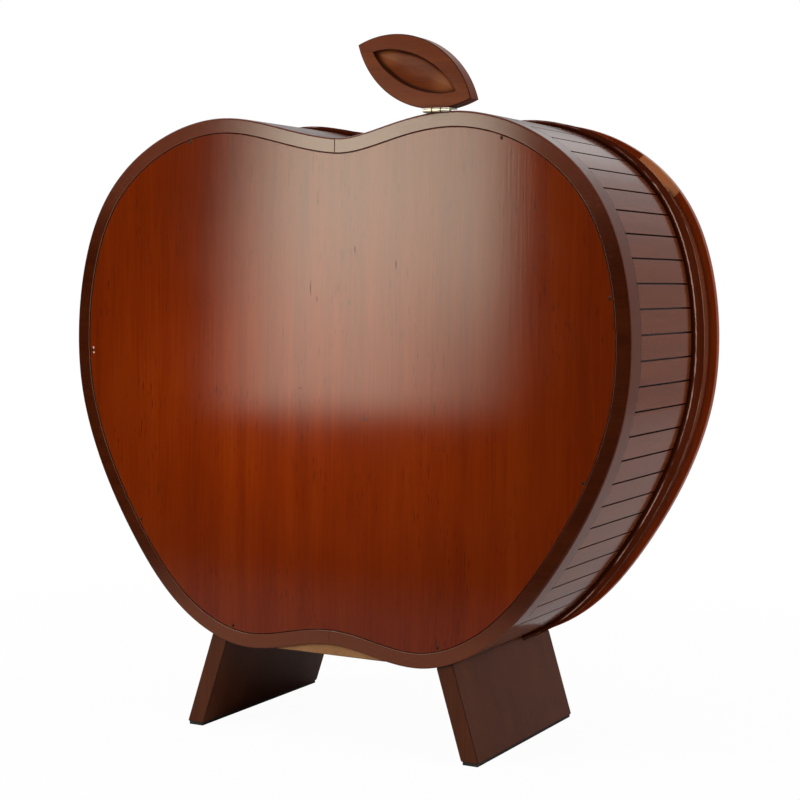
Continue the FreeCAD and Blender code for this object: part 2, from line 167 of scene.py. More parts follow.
class Shader:
    """The node tree of one finish, of a lamp or of the world."""

    def __init__(self, tree: bpy.types.NodeTree) -> None:
        """Start from an empty tree."""
        self.tree = tree
        tree.nodes.clear()

    def node(self, kind: str, settings: dict, inputs: dict) -> bpy.types.Node:
        """Add any node.

        Args:
            kind: the node's type.
            settings: properties that are set first; "stops" fills a colour ramp.
            inputs: socket names or numbers with a Value, a socket, a number or a colour.

        Returns:
            The new node.
        """
        made = self.tree.nodes.new(kind)
        for name, setting in settings.items():
            if name == "stops":
                ramp = made.color_ramp
                while len(ramp.elements) < len(setting):
                    ramp.elements.new(0.5)
                for element, (place, colour) in zip(ramp.elements, setting):
                    element.position = place
                    element.color = (*colour, 1.0)
            else:
                setattr(made, name, setting)
        for key, given in inputs.items():
            socket = made.inputs[key]
            if isinstance(given, Value):
                self.tree.links.new(given.socket, socket)
            elif isinstance(given, bpy.types.NodeSocket):
                self.tree.links.new(given, socket)
            elif socket.type == "RGBA" and len(given) == 3:
                socket.default_value = (*given, 1.0)
            else:
                socket.default_value = given
        return made

    def value(self, kind: str, settings: dict, inputs: dict, output: Union[int, str] = 0) -> Value:
        """Add a node and wrap one of its outputs."""
        return Value(self, self.node(kind, settings, inputs).outputs[output])

    def place(self) -> bpy.types.NodeSocket:
        """The surface's place in the cabinet's own frame."""
        return self.node("ShaderNodeTexCoord", {}, {}).outputs["Object"]

    def mapped(self, scale: Triple, shift: Triple) -> bpy.types.NodeSocket:
        """The place, scaled and then shifted."""
        inputs = {"Vector": self.place(), "Scale": scale, "Location": shift}
        return self.node("ShaderNodeMapping", {}, inputs).outputs[0]

    def normal(self) -> bpy.types.NodeSocket:
        """The direction that the surface faces."""
        return self.node("ShaderNodeNewGeometry", {}, {}).outputs["Normal"]

    def split(self, vector: bpy.types.NodeSocket) -> tuple[Value, Value, Value]:
        """The three parts of a vector."""
        parts = self.node("ShaderNodeSeparateXYZ", {}, {0: vector})
        return tuple(Value(self, socket) for socket in parts.outputs)

    def axes(self) -> tuple[Value, Value, Value]:
        """The three parts of the place, in metres."""
        return self.split(self.place())

    def length(self, vector: bpy.types.NodeSocket) -> Value:
        """A vector's length."""
        return self.value("ShaderNodeVectorMath", {"operation": "LENGTH"}, {0: vector}, "Value")

    def noise(self, pattern: Pattern, grain: Grain = Grain.Z) -> Value:
        """Noise that is stretched along the grain.

        Args:
            pattern: its sizes, detail and shift.
            grain: the axis along which it is stretched.

        Returns:
            A value near 0.5.
        """
        place = self.mapped(grain.scale(pattern.across, pattern.along), pattern.seed)
        inputs = {"Vector": place, "Scale": 1.0, "Detail": pattern.detail, "Distortion": pattern.distortion}
        return self.value("ShaderNodeTexNoise", {}, inputs, "Fac")

    def step(self, value: Value, low: float, high: float) -> Value:
        """A soft step from 0 at low to 1 at high."""
        inputs = {"Value": value, "From Min": low, "From Max": high}
        return self.value("ShaderNodeMapRange", {"interpolation_type": "SMOOTHSTEP"}, inputs)

    def spot(self, centre: Triple, radii: Triple, soft: float) -> Value:
        """A soft round mask at one place.

        Args:
            centre: its middle in metres.
            radii: its half widths in metres.
            soft: share of the radius that fades.

        Returns:
            1 inside and 0 outside.
        """
        scale = tuple(1.0 / r for r in radii)
        shift = tuple(-c / r for c, r in zip(centre, radii))
        return 1.0 - self.step(self.length(self.mapped(scale, shift)), 1.0 - soft, 1.0)

    def ramp(self, value: Value, stops: list[tuple[float, Colour]]) -> bpy.types.NodeSocket:
        """Colours that follow a value."""
        return self.node("ShaderNodeValToRGB", {"stops": stops}, {0: value}).outputs[0]

    def mix(self, share: object, first: object, second: object, blend: str = "MIX") -> bpy.types.NodeSocket:
        """Blend two colours.

        Args:
            share: how much of the second colour shows.
            first: a socket or a colour.
            second: a socket or a colour.
            blend: the Mix node's way of blending.

        Returns:
            The blended colour.
        """
        settings = {"data_type": "RGBA", "blend_type": blend}
        inputs = {MIX_SHARE: share, MIX_FIRST: first, MIX_SECOND: second}
        return self.node("ShaderNodeMix", settings, inputs).outputs[MIX_RESULT]

    def edges(self, radius: float) -> Value:
        """A mask of sharp arrises.

        Args:
            radius: about how wide it is, in metres.

        Returns:
            1 on the arrises and 0 away from them.
        """
        rounded = self.node("ShaderNodeBevel", {"samples": PROBES}, {"Radius": radius}).outputs[0]
        inputs = {0: rounded, 1: self.normal()}
        facing = self.value("ShaderNodeVectorMath", {"operation": "DOT_PRODUCT"}, inputs, "Value")
        return self.step(1.0 - facing, *EDGE_TURN)

    def corners(self, reach: float) -> Value:
        """A mask of grooves and inner corners, where shade falls; the woods paint it in as darker colour.
        """
        inputs = {"Distance": reach}
        return 1.0 - self.value("ShaderNodeAmbientOcclusion", {"samples": PROBES}, inputs, "AO")

    def facing(self) -> Value:
        """How far a surface faces the front or the back: 0 on the sides, 1 on the ends."""
        return abs(self.split(self.normal())[1])

    def sideways(self) -> Value:
        """A mask of the surfaces that face neither the front nor the back."""
        return 1.0 - self.step(self.facing(), *SIDE_TURN)

    def bump(self, height: Value, strength: float, depth: float) -> bpy.types.NodeSocket:
        """A normal from a height."""
        inputs = {"Height": height, "Strength": strength, "Distance": depth}
        return self.node("ShaderNodeBump", {}, inputs).outputs[0]

    def surface(self, inputs: dict) -> None:
        """Finish the tree with one Principled surface."""
        skin = self.node("ShaderNodeBsdfPrincipled", {}, inputs)
        self.node("ShaderNodeOutputMaterial", {}, {"Surface": skin.outputs[0]})


def new_shader(name: str) -> tuple[bpy.types.Material, Shader]:
    """Add a material.

    Args:
        name: its name.

    Returns:
        The material and its empty node tree.
    """
    material = bpy.data.materials.new(name)
    material.use_nodes = True
    return material, Shader(material.node_tree)


CLOUD = Pattern(3.0, 3.0, 2.0, 0.4, (1.3, 0.4, 2.2))
STREAK = Pattern(34.0, 1.1, 5.0, 0.3)
FIBRE = Pattern(420.0, 12.0, 3.0, 0.1)
FINE_PORE = Pattern(1300.0, 150.0, 1.0)
PANEL_PORE = Pattern(430.0, 50.0, 1.0)
PATCH = Pattern(22.0, 9.0, 2.0, 0.2, (4.0, 2.0, 8.0))
RUBBED = Pattern(16.0, 16.0, 4.0, 0.3, (5.0, 1.0, 3.0))
SMEAR = Pattern(7.0, 7.0, 3.0, 0.6, (2.0, 7.0, 4.0))
BROKEN = Pattern(24.0, 24.0, 4.0, 0.3, (7.0, 3.0, 1.0))
TARNISH = Pattern(90.0, 90.0, 4.0, 0.5)
BRUSHED = Pattern(900.0, 120.0, 2.0)
MOTTLE = Pattern(40.0, 40.0, 3.0)
NAP = Pattern(1500.0, 1500.0, 2.0)

# What streaks, fibres and clouds each add to the tone of wood, and where its three colours lie.
STREAK_TONE, FIBRE_TONE, CLOUD_TONE = 0.42, 0.33, 0.25
DARK_TONE, MIDDLE_TONE, LIGHT_TONE = 0.32, 0.5, 0.68
PORE_STEP: Span = (0.60, 0.76)
PATCH_STEP: Span = (0.40, 0.66)
RUBBED_STEP: Span = (0.38, 0.66)
RUBBED_WIDTH = 0.0018
SMEAR_DULL = 0.06
# How much duller the painted shade in grooves and corners is.
PAINTED_SHADE_DULL = 0.2
FIBRE_HEIGHT, STREAK_HEIGHT = 0.25, 0.1
WOOD_DEPTH = 0.0006


@dataclass(frozen=True)
class Wood:
    """Stained wood under lacquer."""

    name: str
    dark: Colour
    middle: Colour
    light: Colour
    pore: Colour
    grain: Grain
    gloss: float
    shine: float
    pores: float = 0.4
    pore_size: Pattern = FINE_PORE
    pore_dull: float = 0.24
    relief: float = 0.1
    wear: float = 0.35
    worn: Colour = (0.26, 0.11, 0.05)
    # Painted shade in grooves and inner corners: its share, the reach of its rays and the steps of its
    # mask; it takes the pore colour.
    painted_shade_share: float = 0.6
    reach: float = 0.006
    shade: Span = (0.08, 0.42)

    def marks(self, shader: Shader, colour: bpy.types.NodeSocket, rough: Value) -> Skin:
        """Marks that only one piece has; plain wood has none."""
        return colour, rough

    def material(self) -> bpy.types.Material:
        """Build the finish.

        Returns:
            The material with grain, pores, rubbed arrises, painted shade in grooves and corners, and
            lacquer.
        """
        material, shader = new_shader(self.name)
        cloud = shader.noise(CLOUD, self.grain)
        streak = shader.noise(STREAK, self.grain)
        fibre = shader.noise(FIBRE, self.grain)
        pore = shader.noise(self.pore_size, self.grain)
        patch = shader.noise(PATCH, self.grain)
        open_pores = shader.step(pore, *PORE_STEP) * shader.step(patch, *PATCH_STEP)
        tone = streak * STREAK_TONE + fibre * FIBRE_TONE + cloud * CLOUD_TONE
        stops = [(DARK_TONE, self.dark), (MIDDLE_TONE, self.middle), (LIGHT_TONE, self.light)]
        colour = shader.mix(open_pores * self.pores, shader.ramp(tone, stops), self.pore)
        edge = shader.edges(RUBBED_WIDTH) * shader.step(shader.noise(RUBBED), *RUBBED_STEP)
        colour = shader.mix(edge * self.wear, colour, self.worn)
        smear = shader.noise(SMEAR) * SMEAR_DULL
        rough = (self.gloss - SMEAR_DULL / 2) + smear + open_pores * self.pore_dull
        colour, rough = self.marks(shader, colour, rough)
        # Painted shade: grooves and inner corners turn towards the pore colour and a little duller.
        painted_corner_shade = shader.step(shader.corners(self.reach), *self.shade) * self.painted_shade_share
        height = fibre * FIBRE_HEIGHT + streak * STREAK_HEIGHT
        shader.surface({
            "Base Color": shader.mix(painted_corner_shade, colour, self.pore),
            "Roughness": rough + painted_corner_shade * PAINTED_SHADE_DULL,
            "Specular IOR Level": self.shine,
            "Normal": shader.bump(height, self.relief, WOOD_DEPTH),
        })
        return material


@dataclass(frozen=True)
class Mark:
    """A nick, crack, nail stain or scuff on the panel: its middle, half sizes, colour and share."""

    centre: Span
    across: float
    high: float
    colour: Colour = (0.030, 0.006, 0.002)
    share: float = 0.75


@dataclass(frozen=True)
class PanelWood(Wood):
    """Panel veneer with a painted pool of light in its middle and the nicks of use that the back has."""

    plane: float = 0.1587
    # A painted pool of light where the lamps light the panel most: its middle, half sizes, fade and how
    # much it brightens.
    bright: Span = (0.03, 0.46)
    painted_light_radii: Triple = (0.40, 0.05, 0.345)
    painted_light_soft: float = 1.0
    painted_light_by: float = 1.70
    nick_depth: float = 0.01
    nick_soft: float = 0.5
    nick_dull: float = 0.35
    nicks: tuple[Mark, ...] = (
        Mark((0.0332, 0.5871), 0.0008, 0.0110),
        Mark((0.0235, 0.5733), 0.0009, 0.0045),
        Mark((-0.0070, 0.5877), 0.0008, 0.0050),
        Mark((0.0235, 0.6957), 0.0008, 0.0050),
        Mark((-0.0308, 0.6356), 0.0009, 0.0060),
        Mark((-0.0892, 0.6174), 0.0008, 0.0070),
        Mark((0.0477, 0.4591), 0.0030, 0.0011),
        Mark((0.0023, 0.5143), 0.0022, 0.0010),
        Mark((-0.0472, 0.4240), 0.0075, 0.0024, share=0.6),
        Mark((-0.1550, 0.1480), 0.0013, 0.0050, share=0.85),
        Mark((0.2172, 0.7755), 0.0024, 0.0036),
        Mark((0.2940, 0.2724), 0.0024, 0.0034),
        Mark((0.1459, 0.1430), 0.0024, 0.0036),
        Mark((-0.3429, 0.3626), 0.0024, 0.0034),
        Mark((-0.3720, 0.5818), 0.0024, 0.0036),
        Mark((-0.2297, 0.7714), 0.0026, 0.0038),
        Mark((0.3744, 0.5010), 0.0014, 0.0024, (0.62, 0.40, 0.33), 0.9),
        Mark((0.3738, 0.4945), 0.0018, 0.0016, (0.62, 0.40, 0.33), 0.9),
    )

    def marks(self, shader: Shader, colour: bpy.types.NodeSocket, rough: Value) -> Skin:
        """A painted pool of light in the middle, short cracks, nicks, nail stains, a scuff and a pale chip.

        Args:
            shader: the finish's node tree.
            colour: the plain wood's colour.
            rough: the plain wood's roughness.

        Returns:
            The marked colour and roughness.
        """
        # Painted light: the middle of the panel is brightened like a lamp's pool of light.
        centre = (self.bright[0], self.plane, self.bright[1])
        middle = shader.spot(centre, self.painted_light_radii, self.painted_light_soft)
        colour = shader.mix(middle, colour, (self.painted_light_by,) * 3, "MULTIPLY")
        for nick in self.nicks:
            centre = (nick.centre[0], self.plane, nick.centre[1])
            radii = (nick.across, self.nick_depth, nick.high)
            here = shader.spot(centre, radii, self.nick_soft) * nick.share
            colour = shader.mix(here, colour, nick.colour)
            rough = rough + here * self.nick_dull
        return colour, rough


@dataclass(frozen=True)
class FrameWood(Wood):
    """Frame wood that is paler on its sides and low down, with a painted highlight over the top."""

    side: Colour = (0.084, 0.0160, 0.0036)
    side_share: float = 0.9
    pale: Colour = (0.125, 0.030, 0.010)
    pale_share: float = 0.75
    pale_heights: Span = (0.13, 0.24)
    # A painted highlight over the top of the ring: its colour, share and heights.
    painted_highlight_colour: Colour = (0.108, 0.0265, 0.0130)
    painted_highlight_share: float = 0.8
    painted_highlight_heights: Span = (0.62, 0.77)

    def marks(self, shader: Shader, colour: bpy.types.NodeSocket, rough: Value) -> Skin:
        """Paler stain on the sides, a painted highlight over the top and a paler colour along the
        underside.

        Args:
            shader: the finish's node tree.
            colour: the plain wood's colour.
            rough: the plain wood's roughness.

        Returns:
            The marked colour and the same roughness.
        """
        height = shader.axes()[2]
        low = 1.0 - shader.step(height, *self.pale_heights)
        # Painted highlight over the top of the ring.
        high = shader.step(height, *self.painted_highlight_heights)
        colour = shader.mix(high * self.painted_highlight_share, colour, self.painted_highlight_colour)
        colour = shader.mix(shader.sideways() * self.side_share, colour, self.side)
        return shader.mix(low * self.pale_share, colour, self.pale), rough


@dataclass(frozen=True)
class EdgedWood(Wood):
    """Wood whose rounded arrises have another colour: a painted highlight where it is pale, painted shade
    where it is dark.
    """

    # The colour, share, facing range, fades and breaks of the painted line on the arrises.
    arris: Colour = (0.010, 0.003, 0.0015)
    painted_arris_share: float = 0.9
    painted_arris_turn: Span = (0.25, 0.90)
    painted_arris_fade: Span = (0.12, 0.09)
    painted_arris_broken: Span = (0.12, 0.35)

    def broken(self, shader: Shader) -> Value:
        """A patchy mask that breaks a line."""
        return shader.step(shader.noise(BROKEN), *self.painted_arris_broken) * self.painted_arris_share

    def marks(self, shader: Shader, colour: bpy.types.NodeSocket, rough: Value) -> Skin:
        """A broken line along the rounded arrises between ends and sides: painted highlight when the arris
        colour is pale, painted shade when it is dark.

        Args:
            shader: the finish's node tree.
            colour: the plain wood's colour.
            rough: the plain wood's roughness.

        Returns:
            The marked colour and the same roughness.
        """
        low, high = self.painted_arris_turn
        before, after = self.painted_arris_fade
        facing = shader.facing()
        # The painted line lies where the normal turns between end and side.
        line = shader.step(facing, low - before, low) * (1.0 - shader.step(facing, high, high + after))
        return shader.mix(line * self.broken(shader), colour, self.arris), rough


@dataclass(frozen=True)
class FlangeWood(EdgedWood):
    """Flange wood with painted highlights along both of its outer arrises."""

    front: float = -0.0925
    strip: Span = (0.0015, 0.0030)

    def marks(self, shader: Shader, colour: bpy.types.NodeSocket, rough: Value) -> Skin:
        """A broken line of painted highlight on the arris at the back and a strip of painted highlight
        along the front.

        Args:
            shader: the finish's node tree.
            colour: the plain wood's colour.
            rough: the plain wood's roughness.

        Returns:
            The marked colour and the same roughness.
        """
        colour, rough = super().marks(shader, colour, rough)
        depth = shader.axes()[1]
        # Painted highlight along the front arris.
        strip = 1.0 - shader.step(depth, self.front + self.strip[0], self.front + self.strip[1])
        return shader.mix(strip * shader.sideways() * self.broken(shader), colour, self.arris), rough


@dataclass(frozen=True)
class LeafWood(EdgedWood):
    """Leaf wood with painted shade on its arrises and painted light on the floor of its hollow near the
    tips.
    """

    pale: Colour = (0.225, 0.068, 0.019)
    pale_share: float = 0.85
    tips: tuple[Triple, ...] = ((-0.0665, 0.1475, 0.8755), (-0.1500, 0.1475, 0.8390))
    tip_light_radii: Triple = (0.030, 0.0085, 0.024)
    tip_light_soft: float = 0.9

    def marks(self, shader: Shader, colour: bpy.types.NodeSocket, rough: Value) -> Skin:
        """Painted shade on the arrises and painted light at the tips.

        Args:
            shader: the finish's node tree.
            colour: the plain wood's colour.
            rough: the plain wood's roughness.

        Returns:
            The marked colour and the same roughness.
        """
        colour, rough = super().marks(shader, colour, rough)
        # Painted light where the floor of the hollow turns towards the lamps near its tips.
        for tip in self.tips:
            here = shader.spot(tip, self.tip_light_radii, self.tip_light_soft)
            colour = shader.mix(here * self.pale_share, colour, self.pale)
        return colour, rough


@dataclass(frozen=True)
class RimWood(Wood):
    """Wood of the door that is bare at the finger pull."""

    bare: Colour = (0.40, 0.18, 0.07)
    bare_dull: float = 0.4
    pull_centre: Triple = (-0.3417, -0.1185, 0.7899)
    pull_radii: Triple = (0.0715, 0.3, 0.0715)
    pull_soft: float = 0.06

    def marks(self, shader: Shader, colour: bpy.types.NodeSocket, rough: Value) -> Skin:
        """Bare wood where fingers open the door."""
        bare = shader.spot(self.pull_centre, self.pull_radii, self.pull_soft)
        return shader.mix(bare, colour, self.bare), rough + bare * self.bare_dull


@dataclass(frozen=True)
class Metal:
    """Brass, steel or iron with a little tarnish; joints are the lines of painted shade in the gaps between
    knuckles.
    """

    name: str
    clean: Colour
    tarnish: Colour
    gloss: float
    spots: float
    joints: tuple[float, ...] = ()
    joint_fade: Span = (0.00055, 0.0011)
    # The colour of the painted shade in the gaps between knuckles.
    painted_gap_shade: Colour = (0.02, 0.014, 0.008)
    dull_step: Span = (0.45, 0.72)
    dull_rough: float = 0.25
    fine_rough: float = 0.08
    edge_width: float = 0.0006
    edge_share: float = 0.5
    edge_by: float = 1.25
    relief: float = 0.1
    depth: float = 0.0002

    def material(self) -> bpy.types.Material:
        """Build the finish.

        Returns:
            The material with tarnish, bright arrises and fine brushing.
        """
        material, shader = new_shader(self.name)
        fine = shader.noise(BRUSHED)
        dull = shader.step(shader.noise(TARNISH), *self.dull_step) * self.spots
        colour = shader.mix(dull, self.clean, self.tarnish)
        bright = tuple(min(1.0, part * self.edge_by) for part in self.clean)
        colour = shader.mix(shader.edges(self.edge_width) * self.edge_share, colour, bright)
        across = shader.axes()[0]
        # Painted shade in the gaps between the knuckles.
        for joint in self.joints:
            painted_gap_mask = 1.0 - shader.step(abs(across - joint), *self.joint_fade)
            colour = shader.mix(painted_gap_mask, colour, self.painted_gap_shade)
        shader.surface({
            "Base Color": colour,
            "Metallic": 1.0,
            "Roughness": self.gloss + dull * self.dull_rough + fine * self.fine_rough,
            "Normal": shader.bump(fine, self.relief, self.depth),
        })
        return material


@dataclass(frozen=True)
class Soft:
    """Plastic or felt in one colour with a fine skin."""

    name: str
    colour: Colour
    gloss: float
    nap: float
    shade_by: float = 0.6
    shade_step: Span = (0.3, 0.7)
    fine_rough: float = 0.15
    depth: float = 0.0004

    def material(self) -> bpy.types.Material:
        """Build the finish.

        Returns:
            The material with soft mottling and a fine nap.
        """
        material, shader = new_shader(self.name)
        fine = shader.noise(NAP)
        light = shader.step(shader.noise(MOTTLE), *self.shade_step)
        shade = tuple(part * self.shade_by for part in self.colour)
        shader.surface({
            "Base Color": shader.mix(light, shade, self.colour),
            "Roughness": self.gloss + fine * self.fine_rough,
            "Normal": shader.bump(fine, self.nap, self.depth),
        })
        return material


# The panel's painted shade is a narrow dark band where it meets the ring.
PANEL = PanelWood("panel_veneer", (0.085, 0.0080, 0.0002), (0.119, 0.0126, 0.0004), (0.148, 0.0190, 0.0009),
                  (0.040, 0.0045, 0.0007), Grain.Z, gloss=0.085, shine=0.28, pores=0.7,
                  pore_size=PANEL_PORE, pore_dull=0.02, worn=(0.40, 0.17, 0.07),
                  painted_shade_share=0.9, reach=0.004, shade=(0.04, 0.25))
# The ring has a painted highlight over its top and painted shade in its corners.
FRAME = FrameWood("frame_wood", (0.026, 0.0040, 0.0008), (0.038, 0.0062, 0.0012), (0.054, 0.0105, 0.0026),
                  (0.018, 0.004, 0.002), Grain.X, gloss=0.09, shine=0.33)
# The flange has no gloss of its own; its pale arris lines are painted highlights.
FLANGE = FlangeWood("flange_wood", (0.034, 0.0058, 0.0018), (0.048, 0.0080, 0.0025),
                    (0.066, 0.0120, 0.0040), (0.014, 0.003, 0.001), Grain.Z, gloss=0.34, shine=0.0,
                    arris=(0.42, 0.24, 0.19), painted_arris_turn=(0.62, 0.78), painted_arris_broken=(0.36, 0.60))
# The drum's painted shade darkens its grooves and a band beside the flange, where the flange's shade and
# dark reflection fall.
DRUM = Wood("drum_veneer", (0.084, 0.0155, 0.0031), (0.114, 0.0225, 0.0046), (0.147, 0.0320, 0.0078),
            (0.016, 0.003, 0.001), Grain.Y, gloss=0.15, shine=0.5, relief=0.05,
            painted_shade_share=0.95, reach=0.020, shade=(0.05, 0.24))
# The door panel's colours stand well above the back's so that its edge band deep in the recess shows
# bright: painted light.
DOOR = RimWood("door_wood", (0.165, 0.0190, 0.0009), (0.225, 0.0272, 0.0014), (0.285, 0.0400, 0.0028),
               (0.050, 0.008, 0.002), Grain.Z, gloss=0.18, shine=0.7, bare=(0.56, 0.20, 0.068),
               pull_centre=(-0.3205, -0.1435, 0.7400), pull_radii=(0.0365, 0.0012, 0.0365))
RIM = RimWood("rim_wood", (0.085, 0.0220, 0.0100), (0.115, 0.0300, 0.0140), (0.145, 0.0400, 0.0190),
              (0.030, 0.008, 0.004), Grain.Z, gloss=0.2, shine=0.7)
# Painted shade: a dark broken line along the legs' rounded arrises.
LEG = EdgedWood("leg_wood", (0.047, 0.0115, 0.0036), (0.065, 0.0162, 0.0052), (0.087, 0.0230, 0.0078),
                (0.020, 0.006, 0.003), Grain.Z, gloss=0.3, shine=0.17, wear=0.0, painted_arris_turn=(0.14, 0.88))
# The leaf has painted shade along its arrises and painted light at the tips of its hollow.
LEAF = LeafWood("leaf_wood", (0.078, 0.0138, 0.0025), (0.107, 0.0202, 0.0037), (0.140, 0.0298, 0.0062),
                (0.034, 0.008, 0.003), Grain.X, gloss=0.34, shine=0.10, wear=0.0,
                painted_shade_share=0.35, reach=0.005, painted_arris_share=0.75)
SHELF = Wood("shelf_wood", (0.10, 0.026, 0.009), (0.15, 0.042, 0.014), (0.20, 0.062, 0.021),
             (0.05, 0.014, 0.006), Grain.X, gloss=0.3, shine=0.35)
RAW = Wood("bare_wood", (0.20, 0.093, 0.037), (0.265, 0.128, 0.053), (0.34, 0.172, 0.076),
           (0.14, 0.065, 0.026), Grain.Y, gloss=0.7, shine=0.2, relief=0.3, wear=0.0)
BRASS = Metal("hinge_brass", (0.72, 0.52, 0.25), (0.16, 0.10, 0.045), gloss=0.24, spots=0.7)
# The leaf hinge has painted shade in the gaps between its knuckles.
LEAF_BRASS = Metal("leaf_hinge_brass", (0.88, 0.81, 0.67), (0.30, 0.22, 0.12), gloss=0.28, spots=0.45,
                   joints=(-0.149, -0.137))
STEEL = Metal("fastener_steel", (0.42, 0.40, 0.38), (0.10, 0.07, 0.055), gloss=0.35, spots=0.6)
IRON = Metal("nail_iron", (0.030, 0.022, 0.018), (0.014, 0.010, 0.008), gloss=0.5, spots=0.8)
GLIDE = Soft("glide_plastic", (0.012, 0.010, 0.009), gloss=0.45, nap=0.2)
FELT = Soft("bumper_felt", (0.07, 0.05, 0.04), gloss=0.85, nap=0.6)

Finish = Union[Wood, Metal, Soft]
MERGE_GAP = 0.00002
FLAT = math.radians(0.2)
SHARP = math.radians(35.0)
EASE_STEPS = 2
JOINT = 0.001
BOARD_SHORTEST = 0.003
PLATE_SHORTEST = 0.0012


def dress(finish: Finish, *names: str) -> None:
    """Give one finish to CAD nodes.

    Args:
        finish: what they are made of.
        names: the nodes.
    """
    material = finish.material()
    for name in names:
        mesh = frame["nodes"][name].data
        mesh.materials.clear()
        mesh.materials.append(material)
        LOG.info("%s wears %s", name, finish.name)


def stand_for(piece: bpy.types.Object, material: bpy.types.Material, node: str) -> None:
    """Let a piece take a CAD node's place and body, and hide the node.

    Args:
        piece: the finished piece.
        material: its finish.
        node: the node that it stands for.
    """
    piece.data.materials.clear()
    piece.data.materials.append(material)
    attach(piece, frame["nodes"][node]["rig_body"])
    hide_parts(node)
    LOG.info("%s stands for %s", piece.name, node)


def only(piece: bpy.types.Object) -> None:
    """Select one piece alone.

    Args:
        piece: the piece, which also becomes the active one.
    """
    bpy.ops.object.select_all(action="DESELECT")
    piece.select_set(True)
    bpy.context.view_layer.objects.active = piece


def apply_modifier(piece: bpy.types.Object, kind: str, **settings: object) -> None:
    """Add one modifier and apply it.

    Args:
        piece: the piece to change.
        kind: the modifier's type.
        settings: its properties.
    """
    only(piece)
    modifier = piece.modifiers.new(kind.lower(), kind)
    for name, setting in settings.items():
        setattr(modifier, name, setting)
    bpy.ops.object.modifier_apply(modifier=modifier.name)


def merge_flat(piece: bpy.types.Object) -> None:
    """Forget stored normals, and merge doubled points and faces that lie in one plane.

    Args:
        piece: the piece to change.
    """
    only(piece)
    bpy.ops.object.mode_set(mode="EDIT")
    bpy.ops.mesh.select_all(action="SELECT")
    bpy.ops.mesh.customdata_custom_splitnormals_clear()
    bpy.ops.mesh.remove_doubles(threshold=MERGE_GAP)
    bpy.ops.mesh.dissolve_limited(angle_limit=FLAT)
    bpy.ops.object.mode_set(mode="OBJECT")


def stays_sharp(first: Vector, second: Vector, shortest: float) -> bool:
    """Whether the edge between two points is short or part of the flush joint between two halves."""
    return (first - second).length <= shortest or max(abs(first.x), abs(second.x)) <= JOINT


def round_edges(piece: bpy.types.Object, width: float, shortest: float) -> None:
    """Round the sharp arrises of a piece.

    Args:
        piece: the piece to change.
        width: how far the rounding reaches from the arris.
        shortest: edges under this length stay sharp.
    """
    only(piece)
    bpy.ops.object.mode_set(mode="EDIT")
    bpy.ops.mesh.select_mode(type="EDGE")
    bpy.ops.mesh.select_all(action="DESELECT")
    bpy.ops.mesh.edges_select_sharp(sharpness=SHARP)
    bpy.ops.object.mode_set(mode="OBJECT")
    points = piece.data.vertices
    # A face whose edges are all sharp stays selected and keeps its edges in.
    for edge in piece.data.edges:
        if stays_sharp(*(points[index].co for index in edge.vertices), shortest):
            edge.select = False
    bpy.ops.object.mode_set(mode="EDIT")
    bpy.ops.mesh.bevel(offset=width, segments=EASE_STEPS, affect="EDGES", clamp_overlap=False)
    bpy.ops.object.mode_set(mode="OBJECT")


def smooth(piece: bpy.types.Object) -> None:
    """Shade round forms smooth and keep flat faces flat.

    Args:
        piece: the piece to change.
    """
    only(piece)
    bpy.ops.object.shade_smooth_by_angle(angle=SHARP)
    apply_modifier(piece, "WEIGHTED_NORMAL", keep_sharp=True)


def eased(finish: Finish, width: float, *nodes: str, shortest: float = BOARD_SHORTEST) -> None:
    """Let copies with rounded arrises stand for CAD nodes.

    Args:
        finish: what they are made of.
        width: how far the rounding reaches.
        nodes: the nodes.
        shortest: edges under this length stay sharp.
    """
    material = finish.material()
    for node in nodes:
        piece = bpy.data.objects.new(node + "_eased", frame["nodes"][node].data.copy())
        bpy.context.scene.collection.objects.link(piece)
        merge_flat(piece)
        round_edges(piece, width, shortest)
        smooth(piece)
        stand_for(piece, material, node)


@dataclass
class Carcass:
    """The body: back, drum, front frame, legs and what they hold inside."""

    leg_arris: float = 0.0018
    board_arris: float = 0.0010
    frame_arris: float = 0.0007
    flange_arris: float = 0.0013
    groove_arris: float = 0.0004
    groove_shortest: float = 0.05

    def build(self) -> None:
        """Round the arrises that hands and eyes meet, and give every node its finish."""
        eased(PANEL, self.frame_arris, "back_panel")
        eased(FRAME, self.frame_arris, "back_frame_left", "back_frame_right")
        eased(FLANGE, self.flange_arris, "front_frame_left", "front_frame_right")
        eased(DRUM, self.groove_arris, "drum_left", "drum_right", shortest=self.groove_shortest)
        eased(LEG, self.leg_arris, "leg_left", "leg_right")
        eased(SHELF, self.board_arris, "floor_shelf", "main_shelf", "top_board", "bottle_dividers",
              "glass_runners")
        eased(RAW, self.frame_arris, "base_board")
        dress(SHELF, "bottle_guard")
        dress(RAW, "drum_tongues", "back_dowels", "front_dowels", "leg_dowels")
        dress(IRON, "panel_nails")
        dress(STEEL, "base_screws", "shelf_pins", "catch_magnet", "catch_strike")
        dress(GLIDE, "leg_glides")
        dress(FELT, "door_bumpers")


@dataclass
class Door:
    """The deep front door and its hinge."""

    arris: float = 0.0010
    plate_arris: float = 0.0003

    def build(self) -> None:
        """Round the arrises and give every node its finish."""
        eased(DOOR, self.arris, "door_panel")
        eased(RIM, self.arris, "door_rim_left", "door_rim_right")
        eased(BRASS, self.plate_arris, "door_hinge_fixed", "door_hinge_moving",
              shortest=PLATE_SHORTEST)
        dress(BRASS, "door_hinge_pin", "door_hinge_fixed_screws", "door_hinge_moving_screws")


